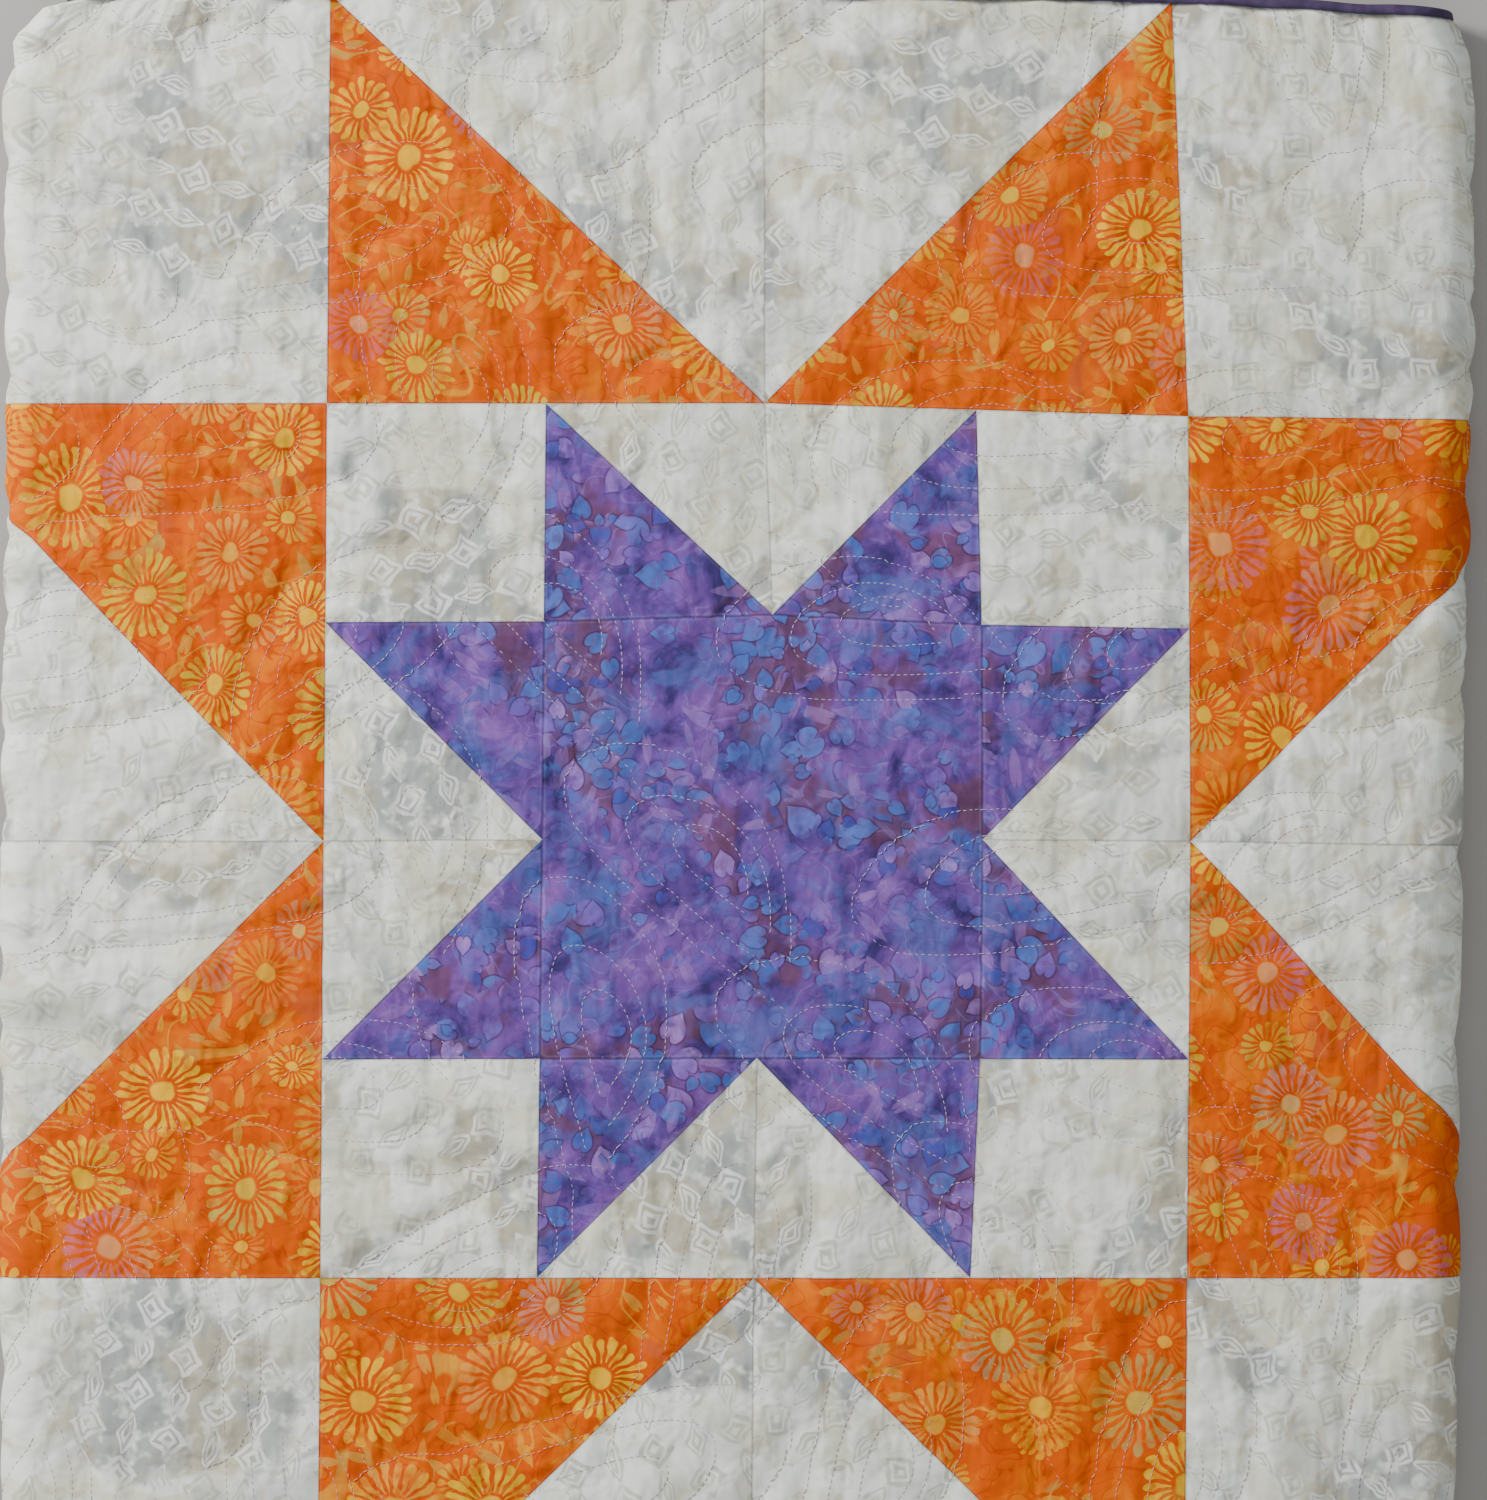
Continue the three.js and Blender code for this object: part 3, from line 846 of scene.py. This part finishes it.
def petals_group():
    """Loose heart-shaped petals: where they are, how near their edge, and a random share for each."""
    tree, given, result = group(
        "Loose petals",
        {"Place": "Vector", "Pitch": "Float", "Long": "Float", "Slim": "Float"},
        {"Petal": "Float", "Rim": "Float", "Tint": "Float"},
    )
    way, chances = scattered(tree, in_cells(tree, given["Place"], given["Pitch"]), 0.8)
    parts = split(tree, turned(tree, way, times(tree, chances[2], 2 * math.pi)))
    across = times(tree, parts["Y"], given["Slim"])
    squares = (calc(tree, "POWER", value, 2.0) for value in (parts["X"], across))
    out = calc(tree, "SQRT", plus(tree, *squares))
    angle = calc(tree, "ABSOLUTE", calc(tree, "ARCTAN2", across, parts["X"]))
    shape = ((0, 0.22), (0.04, 0.34), (0.1, 0.46), (0.3, 0.5), (0.6, 0.42), (0.88, 0.42), (1, 0.56))
    broad = outline(tree, calc(tree, "DIVIDE", angle, math.pi), *shape)
    size = times(tree, broad, times(tree, given["Long"], plus(tree, 0.7, chances[0])))
    inside_by = calc(tree, "SUBTRACT", size, out)
    petal = fade(tree, inside_by, 0.0, 0.05)
    rim = calc(tree, "SUBTRACT", fade(tree, inside_by, -0.07, 0.0), petal)
    fill(tree, result, {"Petal": petal, "Rim": rim, "Tint": chances[1]})
    return tree


def lattice_group():
    """The lines of a lattice of lozenges and pointed ovals, each with a smaller one inside."""
    tree, given, result = group("Lattice", {"Place": "Vector", "Pitch": "Float"}, {"Line": "Float"})
    parts = split(tree, in_cells(tree, swayed(tree, given["Place"], 0.12, 4.0), given["Pitch"]))
    local = [away_from_value(tree, calc(tree, "FRACT", parts[k]), 0.5) for k in range(2)]
    cells = [calc(tree, "FLOOR", parts[k]) for k in range(2)]
    check = calc(tree, "PINGPONG", plus(tree, *cells), 1.0)
    lozenge = plus(tree, *local)
    oval = plus(tree, times(tree, local[0], 1.9), calc(tree, "POWER", local[1], 1.3))
    shape = node(tree, "Mix", {"Factor": check, 2: lozenge, 3: oval}, data_type="FLOAT").outputs[0]
    away = [away_from_value(tree, shape, rim) for rim in (0.4, 0.18)]
    lines = [fade(tree, value, 0.04, 0.09, 1.0, 0.0) for value in away]
    fill(tree, result, {"Line": calc(tree, "MAXIMUM", *lines)})
    return tree


def shared_groups():
    return {
        "seam": seam_group(),
        "relief": relief_group("Cloth relief", "2D"),
        "daisies": daisy_group(),
        "petals": petals_group(),
        "lattice": lattice_group(),
    }


def new_material(name, roughness):
    """A material; gives it, its node tree and its shader."""
    material = bpy.data.materials.new(name)
    material.use_nodes = True
    shader = material.node_tree.nodes["Principled BSDF"]
    shader.inputs["Roughness"].default_value = roughness
    return material, material.node_tree, shader


def cloth_material(name, groups, colour_of):
    """A printed cotton: colour_of draws the print, and the painted seam shadow and highlight, the threads and
    the crinkles are shared.
    """
    material, tree, shader = new_material(name, 0.88)
    place_in, flat = print_place(tree)
    colour = colour_of(tree, place_in, groups)
    seam = use(tree, groups["seam"])
    # Painted shadow along each seam, then a faint painted highlight just beside it
    colour = blend(tree, times(tree, seam["Shadow"], 0.42), colour, (0.12, 0.1, 0.08, 1), "MULTIPLY")
    colour = blend(tree, times(tree, seam["Edge highlight"], 0.025), colour, (1.0, 0.95, 0.8, 1), "SCREEN")
    relief = use(tree, groups["relief"], {"Flat": flat})
    fill(tree, shader, {"Base Color": colour, "Normal": relief["Normal"], "Specular IOR Level": 0.04})
    return material


# Clouds of tint in the prints: shift, (size, detail, roughness, bend), from, to, strength, tint
TINT_CLOUDS = {
    "cream tan": ((0, 0), (34, 4, 0.6, 0.5), 0.46, 0.62, 0.8, (0.64, 0.62, 0.47)),
    "cream grey": ((300, 80), (44, 4, 0.62, 0.4), 0.49, 0.64, 0.65, (0.57, 0.59, 0.54)),
    "cream stain": ((0, 500), (13, 2, 0.5, 0.8), 0.58, 0.7, 0.5, (0.55, 0.46, 0.3)),
    "orange glow": ((200, 0), (20, 4, 0.62, 0.4), 0.48, 0.66, 0.85, (0.72, 0.155, 0.001)),
    "orange bruise": ((0, 700), (40, 3, 0.6, 0.4), 0.58, 0.7, 0.5, (0.5, 0.1, 0.035)),
    "purple blue": ((640, 0), (30, 5, 0.65, 0.3), 0.49, 0.6, 0.6, (0.075, 0.115, 0.37)),
    "purple brown": ((0, 830), (34, 4, 0.62, 0.3), 0.5, 0.64, 0.75, (0.125, 0.048, 0.085)),
    "dark purple": ((0, 0), (30, 5, 0.6, 0.8), 0.4, 0.65, 1.0, (0.05, 0.022, 0.07)),
    "dark blue": ((250, 0), (44, 4, 0.6), 0.5, 0.7, 0.7, (0.02, 0.03, 0.085)),
}


def cream_print(tree, place_in, groups):
    """Cream with tan and grey clouds, and in places a pale lattice on a darker ground."""
    colour, mottle = clouded(tree, ground_colour("cream"), place_in, "cream tan")
    colour, grey = clouded(tree, colour, place_in, "cream grey")
    colour, _ = clouded(tree, colour, place_in, "cream stain")
    where = clouds(tree, shifted(tree, place_in, 70, 910), 66, 2, 0.55, 0.3)
    line = use(tree, groups["lattice"], {"Place": place_in, "Pitch": 15.0})["Line"]
    warm = fade(tree, mottle, 0.42, 0.58)
    ground = blend(tree, warm, (0.3, 0.32, 0.31, 1), (0.42, 0.38, 0.28, 1))
    worn = fade(tree, clouds(tree, place_in, 8, 2, 0.6), 0.25, 0.5)
    pale = times(tree, line, fade(tree, grey, 0.4, 0.5), worn)
    colour = tinted(tree, colour, pale, 0.75, (0.45, 0.46, 0.37))
    here = times(tree, fade(tree, where, 0.54, 0.62), worn)
    colour = blend(tree, times(tree, here, 0.85), colour, ground)
    return tinted(tree, colour, times(tree, line, here), 0.8, (0.8, 0.82, 0.78))


# Daisies in two sizes, the smaller ones first and under the others: shift, pitch, radius, petals, strength
DAISIES = (((431.0, 177.0), 50.0, 13.5, 17.0, 0.75), ((0.0, 0.0), 42.0, 20.0, 22.0, 0.95))
DAISY_TINTS = (
    (0.25, (0.52, 0.12, 0.16)),
    (0.38, (0.66, 0.25, 0.04)),
    (0.48, (0.8, 0.38, 0.01)),
    (0.62, (0.88, 0.48, 0.006)),
    (0.76, (0.6, 0.38, 0.02)),
    (0.88, (0.33, 0.33, 0.1)),
    (0.97, (0.52, 0.24, 0.18)),
)
SPRIG_TINTS = ((0.0, (0.7, 0.24, 0.02)), (0.5, (0.75, 0.34, 0.02)), (1.0, (0.45, 0.3, 0.06)))


def orange_print(tree, place_in, groups):
    """Orange clouds with veins, sprigs, vines and daisies."""
    base = ground_colour("orange")
    mottle = clouds(tree, place_in, 26, 5, 0.65, 0.7)
    colour = blend(tree, fade(tree, mottle, 0.38, 0.58), (0.6, 0.078, 0.001, 1), base)
    colour, _ = clouded(tree, colour, place_in, "orange glow")
    colour, _ = clouded(tree, colour, place_in, "orange bruise")
    veins = ridges(tree, shifted(tree, place_in, 50, 50), 13, 0.022)
    colour = tinted(tree, colour, veins, 0.65, (0.46, 0.045, 0.001))
    sprig = use(tree, groups["petals"], {"Place": place_in, "Pitch": 9.5, "Long": 0.75, "Slim": 2.6})
    gold = ramp(tree, sprig["Tint"], *SPRIG_TINTS)
    sprig_at = fade(tree, clouds(tree, shifted(tree, place_in, 20, 9), 30, 1), 0.46, 0.54)
    colour = blend(tree, times(tree, sprig["Petal"], sprig_at, 0.6), colour, gold)
    vines = ridges(tree, shifted(tree, place_in, 130, 420), 26, 0.014)
    colour = blend(tree, times(tree, vines, sprig_at, 0.7), colour, gold)
    uneven = fade(tree, clouds(tree, place_in, 6, 2, 0.6), 0.28, 0.6, 0.35, 1.0)
    region = clouds(tree, shifted(tree, place_in, 90, 40), 80, 1, 0.5)
    for shift, pitch, radius, petals, strength in DAISIES:
        at = shifted(tree, place_in, *shift)
        drawn = {"Place": at, "Pitch": pitch, "Radius": radius, "Petals": petals}
        flower = use(tree, groups["daisies"], drawn)
        share = plus(tree, times(tree, flower["Tint"], 0.65), times(tree, region, 0.5))
        tint = ramp(tree, share, *DAISY_TINTS)
        halo = fade(tree, flower["Fade"], 0.75, 1.1, 0.65, 0.0)
        colour = tinted(tree, colour, halo, 0.9, (0.56, 0.065, 0.001))
        faded = fade(tree, calc(tree, "FRACT", times(tree, flower["Tint"], 7.3)), 0, 0.5, 0.5)
        colour = blend(tree, times(tree, flower["Petal"], uneven, strength, faded), colour, tint)
        heart = blend(tree, 0.4, tint, (0.8, 0.42, 0.01, 1))
        colour = blend(tree, times(tree, flower["Heart"], 0.9), colour, heart)
    return colour


# Loose petals in two sizes: shift, pitch, length
PETALS = (((0.0, 0.0), 12.0, 0.72), ((377.0, 151.0), 10.0, 0.66))
PETAL_TINTS = (
    (0.0, (0.05, 0.05, 0.3)),
    (0.3, (0.055, 0.12, 0.42)),
    (0.6, (0.09, 0.15, 0.48)),
    (0.8, (0.16, 0.09, 0.42)),
    (0.95, (0.28, 0.15, 0.46)),
)


def purple_print(tree, place_in, groups):
    """Purple clouds with blue and brown ones, slim leaves and loose petals."""
    mottle = clouds(tree, place_in, 20, 5, 0.62, 0.3)
    colour = ramp(
        tree,
        mottle,
        (0.33, (0.045, 0.03, 0.13)),
        (0.43, (0.088, 0.045, 0.215)),
        (0.5, tuple(bpy.context.scene.quilt_looks.purple)),
        (0.58, (0.155, 0.066, 0.3)),
        (0.68, (0.21, 0.092, 0.36)),
    )
    colour, _ = clouded(tree, colour, place_in, "purple blue")
    colour, brown = clouded(tree, colour, place_in, "purple brown")
    lines = ridges(tree, shifted(tree, place_in, 70, 20), 15, 0.02)
    sketched = times(tree, lines, fade(tree, mottle, 0.45, 0.55))
    colour = tinted(tree, colour, sketched, 0.35, (0.24, 0.17, 0.5))
    drawn = {"Place": shifted(tree, place_in, 55, 310), "Pitch": 13.0, "Long": 1.0, "Slim": 3.4}
    leaf = use(tree, groups["petals"], drawn)
    leafy = fade(tree, clouds(tree, shifted(tree, place_in, 410, 60), 38, 2), 0.5, 0.6)
    colour = tinted(tree, colour, times(tree, leaf["Petal"], leafy), 0.35, (0.34, 0.18, 0.5))
    inner = fade(tree, clouds(tree, place_in, 4, 2, 0.6), 0.25, 0.65, 0.45, 0.95)
    cluster = fade(tree, brown, 0.44, 0.52)
    for shift, pitch, length in PETALS:
        at = shifted(tree, place_in, *shift)
        petal = use(tree, groups["petals"], {"Place": at, "Pitch": pitch, "Long": length, "Slim": 1.18})
        loose = fade(tree, clouds(tree, shifted(tree, at, 33, 12), 26, 2, 0.5), 0.44, 0.52)
        where = times(tree, calc(tree, "MAXIMUM", cluster, 0.3), loose)
        colour = tinted(tree, colour, times(tree, petal["Rim"], where), 0.6, (0.04, 0.015, 0.06))
        tint = ramp(tree, petal["Tint"], *PETAL_TINTS)
        colour = blend(tree, times(tree, petal["Petal"], where, inner), colour, tint)
    return colour


def dark_print(tree, place_in, groups):
    """The dark border and back: purple and blue clouds."""
    colour, _ = clouded(tree, ground_colour("border"), place_in, "dark purple")
    return clouded(tree, colour, place_in, "dark blue")[0]


def binding_material():
    """The strip's dark cotton, read from the object's own coordinates."""
    material, tree, shader = new_material("binding_cotton", 0.85)
    here = scaled(tree, node(tree, "TexCoord").outputs["Object"], 1000.0)
    base = ground_colour("border")
    mottle = clouds(tree, here, 14, 4, 0.6, space="3D")
    colour = blotched(tree, base, mottle, 0.4, 0.65, 1.0, (0.065, 0.035, 0.1))
    relief = use(tree, relief_group("Strip relief", "3D"), {"Flat": here})
    fill(tree, shader, {"Base Color": colour, "Normal": relief["Normal"]})
    return material


def thread_material():
    """The quilting thread, its colour painted with the light that the fabric under it throws back: darker on
    cream as painted shade in its groove, pinker on orange as painted reflected light.
    """
    material, tree, shader = new_material("quilting_thread", 0.6)
    here = scaled(tree, node(tree, "TexCoord").outputs["Object"], 1000.0)
    over = calc(tree, "DIVIDE", node(tree, "Attribute", attribute_name="over").outputs["Fac"], PURPLE)
    on_purple = tuple(bpy.context.scene.quilt_looks.thread)
    # Thread colour by the fabric under it: painted shade on cream, painted reflected light on orange, its own
    # colour on purple
    stops = ((0.0, (0.48, 0.41, 0.41)), (0.5, (0.78, 0.36, 0.28)), (1.0, on_purple))
    lit = ramp(tree, over, *stops, how="LINEAR")
    colour = blotched(tree, lit, clouds(tree, here, 45, 1, space="3D"), 0.4, 0.6, 0.4, (0.5, 0.34, 0.36))
    twist = node(tree, "TexWave", {"Vector": here, "Scale": 1.4, "Distortion": 1.0}).outputs["Fac"]
    bump = node(tree, "Bump", {"Height": twist, "Strength": 0.3, "Distance": 0.1 * MM})
    fill(tree, shader, {"Base Color": colour, "Normal": bump.outputs["Normal"]})
    return material


def length_property(name, description, default, least=0.0):
    return FloatProperty(name=name, description=description, default=default, min=least, unit="LENGTH")


def colour_property(name, description, default):
    return FloatVectorProperty(name=name, description=description, default=default, subtype="COLOR")


class QuiltSizes(PropertyGroup):
    grid_pitch: length_property("Grid pitch", "Between points of the cloth that shows", 3 * MM, 2.6 * MM)
    puckers: length_property("Puckers", "Depth of the small creases", 1.0 * MM)
    stitch_pitch: length_property("Stitch pitch", "From stitch to stitch", 2.3 * MM, 1 * MM)
    stitch_length: length_property("Stitch length", "Thread that shows of each", 1.85 * MM)
    stitch_width: length_property("Thread width", "Across a stitch", 0.36 * MM)


class QuiltLooks(PropertyGroup):
    cream: colour_property("Cream", "Ground of the cream print", (0.81, 0.845, 0.77))
    orange: colour_property("Orange", "Ground of the orange print", (0.63, 0.088, 0.0))
    purple: colour_property("Purple", "Ground of the purple print", (0.13, 0.062, 0.28))
    border: colour_property("Border", "Dark border, back and binding", (0.035, 0.022, 0.065))
    thread: colour_property("Thread", "Quilting thread where it lies on purple", (0.5, 0.42, 0.55))


class QuiltStage(PropertyGroup):
    lens: FloatProperty(name="Lens", description="Focal length, in millimetres", default=200, min=20)
    seen: length_property("Seen length", "How much of the packet's length the picture holds", 531 * MM, 0.1)
    picture_x: length_property("Picture middle X", "From the packet's middle", 2.1 * MM, -1.0)
    picture_y: length_property("Picture middle Y", "From the packet's middle", 35.3 * MM, -1.0)
    lights: IntProperty(name="Light", description="Strength of the key light, in watts", default=72, min=1)


class QUILT_OT_cloth(Operator):
    """Makes the folded, quilted and pieced cloth"""

    bl_idname = "quilt.cloth"
    bl_label = "Quilted cloth"

    def execute(self, context):
        sizes = context.scene.quilt_sizes
        groups = shared_groups()
        patches = block_patches()
        seams = seam_lines(patches)
        bm = flat_cloth(sizes.grid_pitch)
        cut_seams(bm, seams)
        mark_patches(bm, patches)
        thickness = fold(bm, seams, sizes.puckers)
        prints = {
            "cream_batik": cream_print,
            "orange_batik": orange_print,
            "purple_batik": purple_print,
            "border_batik": dark_print,
            "backing_batik": dark_print,
        }
        materials = [cloth_material(name, groups, colour_of) for name, colour_of in prints.items()]
        piece = finished("quilt_cloth", bm, materials, ["quilted_cloth"])
        thick = piece.vertex_groups.new(name="thickness")
        for n, share in enumerate(thickness):
            thick.add([n], float(share), "REPLACE")
        solid = piece.modifiers.new("Thickness", "SOLIDIFY")
        solid.thickness = CLOTH
        solid.offset = -1
        solid.vertex_group = "thickness"
        solid.use_rim = True
        solid.material_offset = BACK
        solid.material_offset_rim = BACK
        return {"FINISHED"}


class QUILT_OT_stitches(Operator):
    """Lays the quilting thread on the cloth"""

    bl_idname = "quilt.stitches"
    bl_label = "Quilting stitches"

    def execute(self, context):
        cloth = bpy.data.objects.get("quilt_cloth")
        if cloth is None:
            raise RuntimeError("make the cloth before its stitches")
        sizes = context.scene.quilt_sizes
        points = [v.co for v in cloth.data.vertices]
        surface = BVHTree.FromPolygons(points, [p.vertices for p in cloth.data.polygons])
        stitch = (sizes.stitch_pitch, sizes.stitch_length, sizes.stitch_width)
        bm = stitch_mesh(surface, block_patches(), *stitch)
        finished("quilting_stitches", bm, [thread_material()], [])
        return {"FINISHED"}


class QUILT_OT_binding(Operator):
    """Sews the dark strips round the edge"""

    bl_idname = "quilt.binding"
    bl_label = "Binding"

    def execute(self, context):
        material = binding_material()
        strips = {
            "head_binding_top": head_strip(1),
            "head_binding_under": head_strip(-1),
            "side_binding_tucked": side_strip(U_FIRST, -1),
            "side_binding_under": side_strip(U_LAST, 1),
        }
        made = [finished(f"strip_{n}", bm, [material], [n]) for n, bm in strips.items()]
        cloth = bpy.data.objects.get("quilt_cloth")
        stitches = bpy.data.objects.get("quilting_stitches")
        if cloth is None or stitches is None:
            raise RuntimeError("make the cloth and its stitches before the binding")
        return {"FINISHED"}


class QUILT_OT_stage(Operator):
    """Sets up the pale floor, the soft lights and the camera"""

    bl_idname = "quilt.stage"
    bl_label = "Studio"

    def execute(self, context):
        stage = context.scene.quilt_stage
        bm = bmesh.new()
        bmesh.ops.create_grid(bm, x_segments=1, y_segments=1, size=4)
        mesh = bpy.data.meshes.new("floor")
        bm.to_mesh(mesh)
        bm.free()
        paint, _, shader = new_material("floor_paint", 0.7)
        shader.inputs["Base Color"].default_value = FLOOR_COLOUR
        mesh.materials.append(paint)
        floor = bpy.data.objects.new("floor", mesh)
        context.scene.collection.objects.link(floor)
        lights = (
            ("key", (-1.5, 1.0, 1.1), 0.6, stage.lights),
            ("fill", (1.6, -0.6, 1.7), 1.8, stage.lights * 0.13),
            ("top", (0.1, 0.1, 2.9), 2.2, stage.lights * 0.2),
        )
        for name, at, size, power in lights:
            lamp = bpy.data.lights.new(name, "AREA")
            lamp.size = size
            lamp.energy = power
            lit = bpy.data.objects.new(name, lamp)
            lit.location = at
            lit.rotation_euler = (-Vector(at)).to_track_quat("-Z", "Y").to_euler()
            context.scene.collection.objects.link(lit)
        world = bpy.data.worlds.new("studio")
        world.use_nodes = True
        background = world.node_tree.nodes["Background"]
        background.inputs["Color"].default_value = (0.92, 0.95, 1.0, 1)
        background.inputs["Strength"].default_value = 0.35
        context.scene.world = world
        data = bpy.data.cameras.new("camera")
        data.lens = stage.lens
        top = HALF_THIRD * 2 + PITCH * 2
        away = stage.seen / data.sensor_width * data.lens
        shift = origin_shift()
        at = (stage.picture_x + shift[0], stage.picture_y + shift[1], top + away)
        camera = bpy.data.objects.new("camera", data)
        camera.matrix_world = Matrix.Translation(at)
        context.scene.collection.objects.link(camera)
        context.scene.camera = camera
        return {"FINISHED"}


class QUILT_PT_panel(Panel):
    """The quilt's pieces"""

    bl_idname = "QUILT_PT_panel"
    bl_label = "Quilt"
    bl_space_type = "VIEW_3D"
    bl_region_type = "UI"
    bl_category = "Quilt"

    def draw(self, context):
        for group_name in ("quilt_sizes", "quilt_looks", "quilt_stage"):
            values = getattr(context.scene, group_name)
            for name in values.bl_rna.properties.keys()[2:]:
                self.layout.prop(values, name)
        for step in STEPS:
            self.layout.operator(step.bl_idname)


STEPS = (QUILT_OT_cloth, QUILT_OT_stitches, QUILT_OT_binding, QUILT_OT_stage)
CLASSES = (QuiltSizes, QuiltLooks, QuiltStage, *STEPS, QUILT_PT_panel)


def register():
    for cls in CLASSES:
        bpy.utils.register_class(cls)
    bpy.types.Scene.quilt_sizes = PointerProperty(type=QuiltSizes)
    bpy.types.Scene.quilt_looks = PointerProperty(type=QuiltLooks)
    bpy.types.Scene.quilt_stage = PointerProperty(type=QuiltStage)


def unregister():
    del bpy.types.Scene.quilt_stage
    del bpy.types.Scene.quilt_looks
    del bpy.types.Scene.quilt_sizes
    for cls in reversed(CLASSES):
        bpy.utils.unregister_class(cls)


def main():
    register()
    bpy.ops.quilt.cloth()
    bpy.ops.quilt.stitches()
    bpy.ops.quilt.binding()
    bpy.ops.quilt.stage()


if __name__ == "__main__":
    main()
